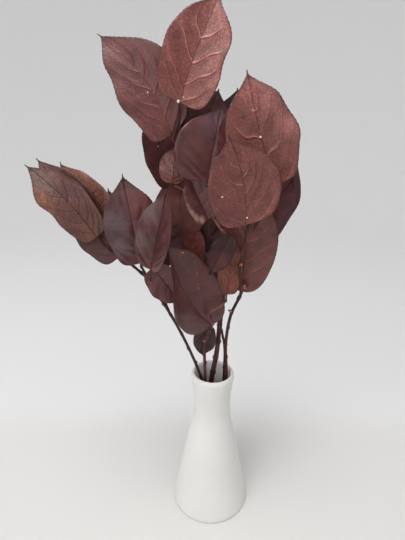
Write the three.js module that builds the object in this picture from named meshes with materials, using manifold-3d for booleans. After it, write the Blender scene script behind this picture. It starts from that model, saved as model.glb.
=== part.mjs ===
// Preserved salal stems standing in a flask-shaped vase.
// Millimetres. +Z is up, -Y is the front. The origin is the middle of the vase's flat bottom.
import * as THREE from 'three';
import Module from 'manifold-3d';

const wasm = await Module();
wasm.setup();

// Vase: real sizes of the ceramic.
const VASE_HEIGHT = 165;
const VASE_BASE_RADIUS = 42.7;
const VASE_NECK_RADIUS = 18.8;
const VASE_NECK_HEIGHT = 117.5;
const VASE_MOUTH_RADIUS = 22.3;
const VASE_WALL = 4;
const VASE_FLOOR = 7;
const VASE_SIDES = 48;

// Leaves and twigs.
const LEAF_THICKNESS = 0.7;
const LEAF_STALK_RADIUS = 0.9;
const STEM_SIDES = 8;
const TWIG_SIDES = 6;
const STALK_SIDES = 5;
const RING_STEP = 14;
const DEGREE = Math.PI / 180;

const CERAMIC = 0xe9e7e2;
const LEAF_BROWN = 0x5a3534;

// What a leaf is unless its own line says otherwise.
// bearing: degrees from upright to the right, seen from the front. lean: degrees towards the front.
// turn: degrees that its face turns to the right about the midrib. arch: bend of the midrib.
// fold: how far the left and right halves are raised. cup: further curl of each half to its edge.
// twist: turn gained from the base to the tip. sway: sideways bow of the midrib.
// full: how far up the blade is widest. lobe: how far the base reaches back past the stalk.
// edge: how much the left and right edges wander in and out. wave: how much they wave up and down.
const LEAF = {
  length: 70, width: 46, bearing: 0, lean: 0, turn: 0, arch: 12, fold: [6, 6], cup: 8,
  twist: 0, sway: 0, full: 1.7, lobe: 0.07, edge: [0, 0], wave: 0, phase: 0, simple: false,
};

// Where the blade is split along u and v. A simple leaf, at the back, is split less.
const ROWS = [0, 0.04, 0.14, 0.3, 0.48, 0.66, 0.82, 0.94, 1];
const COLUMNS = [-1, -0.5, 0, 0.5, 1];
const SIMPLE_ROWS = [0, 0.08, 0.28, 0.55, 0.8, 0.94, 1];
const SIMPLE_COLUMNS = [-1, 0, 1];

function smooth(points) {
  return new THREE.CatmullRomCurve3(points.map((p) => new THREE.Vector3(...p)), false, 'centripetal');
}

function solidOf(positions, triangles) {
  const mesh = new wasm.Mesh({
    numProp: 3,
    vertProperties: new Float32Array(positions.flatMap((p) => [p.x, p.y, p.z])),
    triVerts: new Uint32Array(triangles.flat()),
  });
  return new wasm.Manifold(mesh);
}

// A round tapering tube along a list of points, closed at both ends.
function tube(points, startRadius, endRadius, sides) {
  const rings = points.length;
  const positions = [];
  const triangles = [];
  let side = null;
  for (let i = 0; i < rings; i += 1) {
    const ahead = points[Math.min(i + 1, rings - 1)];
    const behind = points[Math.max(i - 1, 0)];
    const along = new THREE.Vector3().subVectors(ahead, behind).normalize();
    if (side === null) {
      side = Math.abs(along.x) < 0.8 ? new THREE.Vector3(1, 0, 0) : new THREE.Vector3(0, 1, 0);
    }
    side = side.clone().addScaledVector(along, -side.dot(along)).normalize();
    const other = new THREE.Vector3().crossVectors(along, side);
    const radius = startRadius + (endRadius - startRadius) * (i / (rings - 1));
    for (let k = 0; k < sides; k += 1) {
      const angle = (2 * Math.PI * k) / sides;
      positions.push(points[i].clone()
        .addScaledVector(side, radius * Math.cos(angle))
        .addScaledVector(other, radius * Math.sin(angle)));
    }
  }
  for (let i = 0; i < rings - 1; i += 1) {
    for (let k = 0; k < sides; k += 1) {
      const next = (k + 1) % sides;
      const a = i * sides + k;
      const b = i * sides + next;
      triangles.push([a, b, b + sides], [a, b + sides, a + sides]);
    }
  }
  for (let k = 1; k < sides - 1; k += 1) {
    const last = (rings - 1) * sides;
    triangles.push([0, k + 1, k], [last, last + k, last + k + 1]);
  }
  return solidOf(positions, triangles);
}

// Half width of the blade at u, and how far along the blade its edge lies there.
function outline(leaf, u) {
  const rise = 0.45;
  const fall = 0.85;
  const shape = (t) => t ** rise * (1 - t ** leaf.full) ** fall;
  const peak = shape((rise / (rise + fall * leaf.full)) ** (1 / leaf.full));
  const body = u < 0.965 ? shape(u / 0.965) / peak : 0;
  const spike = u > 0.8 ? 0.35 + 1.3 * Math.min(Math.max(1 - (u - 0.86) / 0.14, 0), 1) : 0;
  const stalk = 0.9 * Math.max(1 - u / 0.02, 0);
  const half = Math.max((body * leaf.width) / 2, spike, stalk);
  return [half, u - leaf.lobe * Math.sin(Math.PI * Math.min(u / 0.3, 1))];
}

function axesOf(leaf) {
  const bearing = leaf.bearing * DEGREE;
  const lean = leaf.lean * DEGREE;
  const along = new THREE.Vector3(
    Math.sin(bearing) * Math.cos(lean), -Math.sin(lean), Math.cos(bearing) * Math.cos(lean));
  const face = new THREE.Vector3(0, -1, 0);
  face.addScaledVector(along, -face.dot(along)).normalize();
  face.applyAxisAngle(along, leaf.turn * DEGREE);
  return { along, across: new THREE.Vector3().crossVectors(along, face), face };
}

// A point on the middle surface of the blade: u runs base to tip, v from the left to the right edge.
function bladePoint(leaf, axes, u, v) {
  const [half, edge] = outline(leaf, u);
  const q = Math.abs(v);
  const middle = u * u;
  const y = middle + (edge - middle) * (0.6 * q + 0.4 * q * q);
  const wander = leaf.edge[v < 0 ? 0 : 1] * Math.sin(2 * Math.PI * (2.3 * u + leaf.phase));
  const x = (half + wander * Math.sqrt(Math.sin(Math.PI * u))) * q;
  const start = leaf.fold[v < 0 ? 0 : 1] * DEGREE;
  const curl = leaf.cup * DEGREE + 1e-6;
  const divisor = curl * Math.max(q, 1e-6);
  const lateral = (x * (Math.sin(start + curl * q) - Math.sin(start))) / divisor;
  let height = (-x * (Math.cos(start + curl * q) - Math.cos(start))) / divisor;
  const ripple = Math.sin(2 * Math.PI * (2.5 * u + leaf.phase + 0.23 * Math.sign(v)));
  height += leaf.wave * q * q * ripple * Math.sqrt(Math.sin(Math.PI * u));
  const twist = leaf.twist * DEGREE * (y - 0.3);
  const across = Math.sign(v) * lateral * Math.cos(twist) - height * Math.sin(twist);
  const above = Math.sign(v) * lateral * Math.sin(twist) + height * Math.cos(twist);
  const arch = leaf.arch * DEGREE + 1e-6;
  const slope = arch * (0.5 - y);
  const arc = (leaf.length * (arch / 2)) / Math.sin(arch / 2);
  const ahead = (arc * (Math.sin(arch / 2) - Math.sin(slope))) / arch - Math.sin(slope) * above;
  const up = (arc * (Math.cos(slope) - Math.cos(arch / 2))) / arch + Math.cos(slope) * above;
  return new THREE.Vector3(...leaf.base)
    .addScaledVector(axes.along, ahead)
    .addScaledVector(axes.across, across + leaf.sway * 4 * y * (1 - y))
    .addScaledVector(axes.face, up);
}

// One closed thin blade, with its two faces split into triangles alike.
function bladeSolid(leaf) {
  const axes = axesOf(leaf);
  const alongList = leaf.simple ? SIMPLE_ROWS : ROWS;
  const acrossList = leaf.simple ? SIMPLE_COLUMNS : COLUMNS;
  const rows = alongList.length;
  const columns = acrossList.length;
  const middle = alongList.map((u) => acrossList.map((v) => bladePoint(leaf, axes, u, v)));
  const front = [];
  const back = [];
  for (let i = 0; i < rows; i += 1) {
    for (let j = 0; j < columns; j += 1) {
      const r = Math.min(Math.max(i, 1), rows - 2);
      const rowStep = new THREE.Vector3().subVectors(middle[r + 1][j], middle[r - 1][j]);
      const columnStep = new THREE.Vector3().subVectors(
        middle[r][Math.min(j + 1, columns - 1)], middle[r][Math.max(j - 1, 0)]);
      const normal = rowStep.cross(columnStep).normalize();
      front.push(middle[i][j].clone().addScaledVector(normal, LEAF_THICKNESS / 2));
      back.push(middle[i][j].clone().addScaledVector(normal, -LEAF_THICKNESS / 2));
    }
  }
  const positions = front.concat(back);
  const shift = front.length;
  const triangles = [];
  for (let i = 0; i < rows - 1; i += 1) {
    for (let j = 0; j < columns - 1; j += 1) {
      const a = i * columns + j;
      const b = a + 1;
      const c = b + columns;
      const d = a + columns;
      const split = j < (columns - 1) / 2 ? [[a, b, c], [a, c, d]] : [[a, b, d], [b, c, d]];
      split.forEach(([p, q, r]) => {
        triangles.push([p, r, q]);
        triangles.push([p + shift, q + shift, r + shift]);
      });
    }
  }
  const ring = [];
  for (let j = 0; j < columns; j += 1) ring.push(j);
  for (let i = 1; i < rows; i += 1) ring.push(i * columns + columns - 1);
  for (let j = columns - 2; j >= 0; j -= 1) ring.push((rows - 1) * columns + j);
  for (let i = rows - 2; i > 0; i -= 1) ring.push(i * columns);
  ring.forEach((a, k) => {
    const b = ring[(k + 1) % ring.length];
    triangles.push([a, b, b + shift], [a, b + shift, a + shift]);
  });
  return solidOf(positions, triangles);
}

// The leaf stalk: out of the twig, to the blade, and on under it as the thick root of the midrib.
function stalkSolid(leaf, curve) {
  const axes = axesOf(leaf);
  const root = curve.getPointAt(leaf.at);
  const base = new THREE.Vector3(...leaf.base);
  const rib = [0.08].map((y) => bladePoint(leaf, axes, Math.sqrt(y), 0));
  const reach = base.distanceTo(root);
  const elbow = base.clone().addScaledVector(axes.along, -Math.min(0.35 * reach, 6));
  const bent = () => smooth([root, elbow, base].map((p) => p.toArray())).getSpacedPoints(3);
  const path = reach > 9 ? bent() : [root, base];
  return tube([...path, ...rib], LEAF_STALK_RADIUS, 0.55, STALK_SIDES);
}

function leafyStem(twigs) {
  let solid = null;
  twigs.forEach(({ route, thick, thin, leaves }, index) => {
    const curve = smooth(route);
    const steps = Math.max(2, Math.round(curve.getLength() / RING_STEP));
    const sides = index === 0 ? STEM_SIDES : TWIG_SIDES;
    const twig = tube(curve.getSpacedPoints(steps), thick / 2, thin / 2, sides);
    solid = solid === null ? twig : solid.add(twig);
    leaves.forEach((own) => {
      const leaf = { ...LEAF, at: 1, ...own };
      solid = solid.add(bladeSolid(leaf)).add(stalkSolid(leaf, curve));
    });
  });
  return solid.simplify(0.02).decompose().reduce((a, b) => (a.volume() > b.volume() ? a : b));
}

const STEMS = {
  // The stem that leans out to the left.
  stem_left: [
    { route: [[13, 27, 7.8], [-3, 5, 118], [-12, -4, 160], [-26, -9, 201], [-39, -14, 232],
      [-53, -20, 261], [-61, -24, 277], [-72, -27, 289], [-86, -29, 300], [-95, -31, 309]],
    thick: 4, thin: 2,
    leaves: [
      { base: [-99, -33, 316], bearing: -40, lean: 5, length: 75, width: 39,
        turn: -7, sway: 5, full: 2.2, fold: [4, 4], edge: [1.2, 0], phase: 0.7 },
      { base: [-100, -26, 315], bearing: -35, lean: 0, length: 76, width: 38, sway: 2 },
      { base: [-93, -20, 319], at: 0.98, bearing: -34, lean: -3, length: 66, width: 47, sway: -4,
        full: 1.5 },
      { base: [-83, -26, 297], at: 0.93, bearing: -45, lean: -8, length: 61, width: 35, full: 1.4 },
      { base: [-54, -43, 292], at: 0.82, bearing: 11, lean: 5, length: 67, width: 30, fold: [5, 42],
        full: 2.1, lobe: 0.02 },
      { base: [-53, -36, 291], at: 0.78, bearing: 148, lean: -8, length: 43, width: 27 },
      { base: [-50, -27, 293], at: 0.8, bearing: 30, lean: 0, length: 34, width: 26 },
      { base: [-81, -17, 300], at: 0.88, bearing: -18, lean: -26, length: 58, width: 36, turn: 213,
        simple: true },
      { base: [-52, -11, 273], at: 0.72, bearing: -5, lean: -36, length: 58, width: 38, turn: 122,
        simple: true },
    ] },
    { route: [[-61, -24, 277], [-62, -28, 284], [-64, -31, 290]], thick: 2.6, thin: 2,
      leaves: [
        { base: [-64, -34, 294], bearing: -7, lean: 7, length: 75, width: 45, turn: 12, full: 2.3,
          fold: [9, 9] },
      ] },
  ],
  // The short stem in front, with the long dark leaf.
  stem_front: [
    { route: [[-5, -20, 7.7], [-6.5, -7.5, 118], [-8, -11, 167], [-9, -17, 200], [-8, -20, 213],
      [-3, -25, 228]], thick: 3.8, thin: 2.8,
    leaves: [
      { base: [-4, -31, 235], bearing: -24, lean: 12, length: 93, width: 58, turn: 22, sway: -6,
        full: 2.6, lobe: 0.02, fold: [33, 7], twist: -50, cup: 12 },
      { base: [-8, -13, 226], at: 0.97, bearing: 184, lean: -5, length: 37, width: 22 },
      { base: [-14, -9, 220], at: 0.93, bearing: -27, lean: -32, length: 48, width: 36, turn: 228,
        simple: true },
    ] },
    { route: [[-3, -25, 228], [-3, -32, 238], [-7, -40, 249], [-4, -44, 255], [3, -42, 258],
      [9, -33, 260]],
      thick: 2.4, thin: 1.8,
      leaves: [
        { base: [10, -24, 262], bearing: 3, lean: 4, length: 54, width: 24, turn: 15, fold: [6, 0],
          lobe: 0.12 },
      ] },
  ],
  // The thick stem that reaches the top.
  stem_tall: [
    { route: [[-14, 2, 7.6], [-4, -2.5, 118], [-1, -2, 158], [3, -4, 187], [5, -6, 216], [7, -8, 243],
      [10, -11, 276], [10, -13, 300], [7, -15, 323], [-1, -17, 340], [-12, -19, 355], [-23, -21, 373],
      [-32, -24, 387], [-36, -25, 393]], thick: 5.2, thin: 2.4,
    leaves: [
      { base: [-37, -26, 396], bearing: -38, lean: -4, length: 86, width: 50,
        turn: 8, sway: 8, full: 1.6, lobe: 0.06, edge: [1.5, 0], phase: 0.28 },
      { base: [-37, -5, 354], at: 0.88, bearing: -19, lean: -3, length: 64, width: 40, turn: 35 },
      { base: [-18, -14, 387], at: 0.93, bearing: 22, lean: -4, length: 46, width: 38 },
      { base: [2, 4, 330], at: 0.78, bearing: -10, lean: -39, length: 70, width: 44, turn: 137,
        simple: true },
      { base: [-12, 0, 372], at: 0.88, bearing: 5, lean: -32, length: 60, width: 40, turn: 238,
        simple: true },
      { base: [-34, -9, 390], at: 0.985, bearing: -28, lean: -29, length: 56, width: 38, turn: 122,
        simple: true },
    ] },
    { route: [[-36, -25, 393], [-31, -31, 405], [-30, -36, 413]], thick: 2.4, thin: 2,
      leaves: [
        { base: [-30, -38, 418], bearing: 22.5, lean: -6, length: 76, width: 46, turn: 3, sway: -2,
          full: 1.8,
          lobe: 0.11, fold: [12, 10], twist: 12, edge: [0, 1.6], phase: 0.69 },
      ] },
    { route: [[7, -15, 323], [5, -25, 344], [0, -32, 357]], thick: 2.6, thin: 2,
      leaves: [
        { base: [-9, -34, 362], bearing: 10, lean: 0, length: 56, width: 58, full: 1.8, lobe: 0.12 },
        { base: [14, -37, 372], bearing: -1, lean: -3, length: 50, width: 34 },
      ] },
    { route: [[7, -15, 323], [12, -9, 345], [14, -7, 368]], thick: 2.6, thin: 2,
      leaves: [
        { base: [14, -6, 378], bearing: 0, lean: -2, length: 53, width: 44 },
      ] },
  ],
  // The stem on the right.
  stem_right: [
    { route: [[8, -17, 7.7], [10, -4, 118], [14, -1, 155], [12, -6, 201], [15, -14, 236], [23, -24, 266],
      [20, -30, 283], [20, -36, 300], [22, -43, 318], [22, -47, 326]], thick: 4.2, thin: 2.4,
    leaves: [
      { base: [20, -55, 333], bearing: -14, lean: 7, length: 66, width: 54, turn: 4, sway: 4,
        full: 1.8, lobe: 0.05 },
      { base: [23, -19, 263], at: 0.78, bearing: 8, lean: 2, length: 92, width: 50, turn: -8,
        arch: 4, full: 2.4,
        fold: [0, 4], lobe: 0.03, sway: -2 },
      { base: [28, -8, 277], at: 0.8, bearing: 12, lean: -42, length: 60, width: 40, turn: 223,
        simple: true },
    ] },
    { route: [[20, -36, 302], [14, -36, 311], [3, -31, 323], [-5, -25, 333], [-15, -20, 343],
      [-28, -17, 352], [-36, -17, 356]],
      thick: 2.6, thin: 1.8,
      leaves: [
        { base: [-38, -18, 358], bearing: 6, lean: -4, length: 30, width: 23, fold: [4, -10] },
        { base: [-33, -12, 361], at: 0.95, bearing: -2, lean: -2, length: 23, width: 22 },
        { base: [10, -35, 319], at: 0.12, bearing: -154, lean: 6, length: 37, width: 21,
          fold: [18, 4] },
      ] },
    { route: [[22, -46, 324], [27, -42, 336], [36, -43, 350], [41, -45, 357]], thick: 2.4, thin: 2,
      leaves: [
        { base: [42, -46, 362], bearing: -18, lean: -3, length: 81, width: 51, sway: -2, full: 1.9,
          lobe: 0.06,
          edge: [0, 1.2], phase: 0.32 },
        { base: [40, -25, 358], at: 0.75, bearing: 8, lean: -26, length: 60, width: 42, turn: 132,
          simple: true },
      ] },
    { route: [[23, -24, 266], [30, -12, 282], [36, -10, 300]], thick: 2.6, thin: 2,
      leaves: [
        { base: [38, -12, 308], bearing: 20.5, lean: 0, length: 77, width: 41, turn: 35,
          full: 1.8 },
        { base: [37, -22, 334], at: 0.97, bearing: 38, lean: 2, length: 38, width: 32, full: 2.2 },
        { base: [35, 4, 306], at: 0.95, bearing: 10, lean: -34, length: 64, width: 42, turn: 233,
          simple: true },
      ] },
  ],
  // The thin stem in the middle of the bunch.
  stem_inner: [
    { route: [[17, 5, 7.5], [10.5, 5, 118], [12, 5.5, 161], [11, 2, 195], [6, 0, 221], [2, -4, 247],
      [-2, -12, 281], [1, -18, 296], [-4, -23, 312], [-7, -26, 321]], thick: 3.2, thin: 1.8,
    leaves: [
      { base: [-8, -28, 331], bearing: -25, lean: 0, length: 41, width: 34, fold: [50, 4], lobe: 0.12 },
      { base: [-30, -19, 317], at: 0.75, bearing: -1, lean: -40, length: 44, width: 42, arch: 80 },
      { base: [-20, -15, 288], at: 0.8, bearing: -8, lean: 0, length: 42, width: 26 },
      { base: [-10, -7, 296], at: 0.85, bearing: -8, lean: 0, length: 50, width: 36 },
      { base: [14, 7, 262], at: 0.7, bearing: 18, lean: -32, length: 56, width: 38, turn: 200,
        simple: true },
      { base: [-8, 6, 252], at: 0.64, bearing: -24, lean: -26, length: 60, width: 40, turn: 160,
        simple: true },
      { base: [-6, 5, 286], at: 0.8, bearing: -8, lean: -36, length: 54, width: 36, turn: 165,
        simple: true },
    ] },
  ],
};

// The vase is turned from one profile: along its bottom, up the outside, over the lip and down
// the inside.
function vaseGeometry() {
  const top = VASE_HEIGHT;
  const lip = 2.4;
  const slope = (VASE_BASE_RADIUS - VASE_NECK_RADIUS) / VASE_NECK_HEIGHT;
  const cone = (z) => VASE_BASE_RADIUS - slope * z;
  const profile = [
    [0, 0], [VASE_BASE_RADIUS - 2, 0], [cone(1.6), 1.6], [cone(102), 102],
    [VASE_NECK_RADIUS + 0.9, 116], [VASE_NECK_RADIUS + 0.6, 128], [VASE_NECK_RADIUS + 1.1, 142],
    [VASE_MOUTH_RADIUS - 1.2, 154], [VASE_MOUTH_RADIUS, top - lip],
    [VASE_MOUTH_RADIUS - 0.8, top - 0.6],
    [VASE_MOUTH_RADIUS - lip, top], [VASE_MOUTH_RADIUS - 4.4, top - 1.4],
    [VASE_NECK_RADIUS - VASE_WALL + 1.4, 144], [VASE_NECK_RADIUS - VASE_WALL + 0.4, 122],
    [cone(100) - VASE_WALL, 100], [cone(14) - VASE_WALL, 14], [cone(9) - VASE_WALL - 3, VASE_FLOOR],
    [0, VASE_FLOOR],
  ];
  const points = profile.map(([radius, z]) => new THREE.Vector2(radius, z));
  return new THREE.LatheGeometry(points, VASE_SIDES).rotateX(Math.PI / 2);
}

function geometryOf(solid) {
  const mesh = solid.getMesh();
  const geometry = new THREE.BufferGeometry();
  geometry.setAttribute('position', new THREE.BufferAttribute(new Float32Array(mesh.vertProperties), 3));
  geometry.setIndex(Array.from(mesh.triVerts));
  return geometry;
}

function piece(name, geometry, color, roughness) {
  const material = new THREE.MeshStandardMaterial({ color, roughness, metalness: 0 });
  const mesh = new THREE.Mesh(geometry, material);
  mesh.name = name;
  return mesh;
}

const group = new THREE.Group();
group.name = 'preserved_salal_stem';
group.add(piece('vase', vaseGeometry(), CERAMIC, 0.45));
Object.entries(STEMS).forEach(([name, twigs]) => {
  group.add(piece(name, geometryOf(leafyStem(twigs)), LEAF_BROWN, 0.5));
});

export default group;
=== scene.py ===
"""Preserved salal stems standing in a white ceramic vase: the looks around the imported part.

Sizes are real, in millimetres, and turn into metres where a mesh is made.
+Z is up, -Y is the front, and the origin is the middle of the vase's flat bottom.
"""

import math
from functools import partial

import bpy
import numpy as np
from mathutils import Matrix, Vector


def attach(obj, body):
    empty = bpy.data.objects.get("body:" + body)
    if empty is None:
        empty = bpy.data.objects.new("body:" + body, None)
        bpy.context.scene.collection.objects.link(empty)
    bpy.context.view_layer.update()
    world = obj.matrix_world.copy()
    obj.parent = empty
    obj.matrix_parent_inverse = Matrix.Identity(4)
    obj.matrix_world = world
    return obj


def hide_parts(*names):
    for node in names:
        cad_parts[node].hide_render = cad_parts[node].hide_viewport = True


MM = 0.001
DEGREE = math.pi / 180

# Vase.
VASE_HEIGHT = 165
VASE_BASE_RADIUS = 42.7
VASE_NECK_RADIUS = 18.8
VASE_NECK_HEIGHT = 117.5
VASE_MOUTH_RADIUS = 22.3
VASE_LIP_HEIGHT = 4.6
VASE_LIP_WIDTH = 4.4
VASE_WALL = 4
VASE_FLOOR = 7
VASE_SIDES = 128

# Leaves. The split along and across a blade is fine where it shows and coarser at the back.
BLADE_THICKNESS = 0.5
RIM_THICKNESS = 0.2
BLADE_ROWS = 64
BLADE_COLUMNS = 18
BACK_ROWS = 40
BACK_COLUMNS = 10
TOOTH_DEPTH = 0.15
VEIN_STARTS = (-0.2, 0.0, 0.13, 0.3, 0.49, 0.69, 0.88, 1.1)
VEIN_SCATTER = 0.035
TIP_TAPER = 0.36
DENTS = 5
DENT_HEIGHT = 0.55
FRILL_HEIGHT = 0.9
RIDGE_HALF_WIDTH = 0.45
STALK_RADIUS = 0.75
MAP_UNIT = 100
GRAIN_GLOSS = 0.08

# Twigs.
TWIG_STEP = 1.6
TWIG_SIDES = 12
NODE_SWELLING = 0.3
NODE_KINK = 0.35
NODE_GAP = 19
NODE_BUD = 1.7
BUD_WIDTH = 0.48
BARK_DEPTH = 0.16
BARK_SCALE = 500.0

# Camera, matched to the photograph: the focal length is in pixels of its 540 pixel height.
FOCAL_PIXELS = 385
PICTURE_HEIGHT = 540
SENSOR_WIDTH = 36
CAMERA_PLACE = (-11.9, -338.7, 399.8)
CAMERA_DOWN = 20.06
CAMERA_ROLL = 0.7

# What a leaf is unless its own line says otherwise.
# bearing: degrees from upright to the right, seen from the front. lean: degrees towards the front.
# turn: degrees that its face turns to the right about the midrib. arch: bend of the midrib.
# fold: how far the left and right halves are raised. cup: further curl of each half to its edge.
# twist: turn gained from the base to the tip. sway: sideways bow of the midrib.
# full: how far up the blade is widest. lobe: how far the base reaches back past the stalk.
# edge: how much the left and right edges wander in and out. rise: how steep the side veins run.
# starts: how far up the midrib the left and right side veins leave it.
# stains: spots of another colour, each (along mm, across mm, radius mm, colour, strength). Some are
# the leaf's own colour; others are painted light: sheen where light glances off the face, and glow
# where it shines through.
# drops: dried white drops on the face, each (up, side, radius mm), with up from 0 at the base to 1
# at the tip and side from -1 to 1. flecks: lines of gold flecks, each (up, side, up, side) from one
# end to the other. Other values of its look can be given too.
LEAF = dict(
    at=1, turn=0, arch=12, fold=(6, 6), cup=8, twist=0, sway=0, full=1.7, lobe=0.07, edge=(0, 0),
    phase=0, simple=False, shade=1, rise=(0.34, 0.34), starts=None, stains=(), drops=(), flecks=(),
)

# How each kind of leaf looks from the front. lower: its lower face is the one that shows.
# net: how strong the fine veins are. vein and rib: how much lighter the side veins and the midrib
# are than the blade, below 0 darker. gloss: roughness of the face. quilt: rise between veins, mm.
LOOKS = {
    "brick": dict(tone="#74403a", lower=True, net=0.9, vein=0.95, rib=-0.3, gloss=0.36, quilt=0.3),
    "rose": dict(tone="#723f3b", lower=True, net=0.75, vein=0.8, rib=0.35, gloss=0.4, quilt=0.26),
    "copper": dict(tone="#75473d", lower=False, net=1, vein=-0.4, rib=-0.5, gloss=0.3, quilt=0.2),
    "plum": dict(tone="#593131", lower=False, net=0.2, vein=0.1, rib=-0.2, gloss=0.32, quilt=0.32),
    "wine": dict(tone="#4c2626", lower=False, net=0.3, vein=0.1, rib=0, gloss=0.42, quilt=0.2),
    "dark": dict(tone="#3a2221", lower=False, net=0.3, vein=0.1, rib=0, gloss=0.45, quilt=0.2),
    # ember: its orange-red is partly the leaf's colour and partly a painted glow of light shining
    # through it.
    "ember": dict(tone="#642c24", lower=True, net=0.5, vein=-0.3, rib=0.6, gloss=0.5, quilt=0.2),
}


def leaf_of(look, base, bearing, lean, length, width, **own):
    return {**LEAF, **LOOKS[look], "base": base, "bearing": bearing, "lean": lean,
            "length": length, "width": width, **own}


def twig_of(thick, thin, route, *leaves, young=False):
    """A twig along route, thick at its foot and thin at its end, with its leaves."""
    return dict(thick=thick, thin=thin, route=route, leaves=leaves, young=young)


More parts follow.
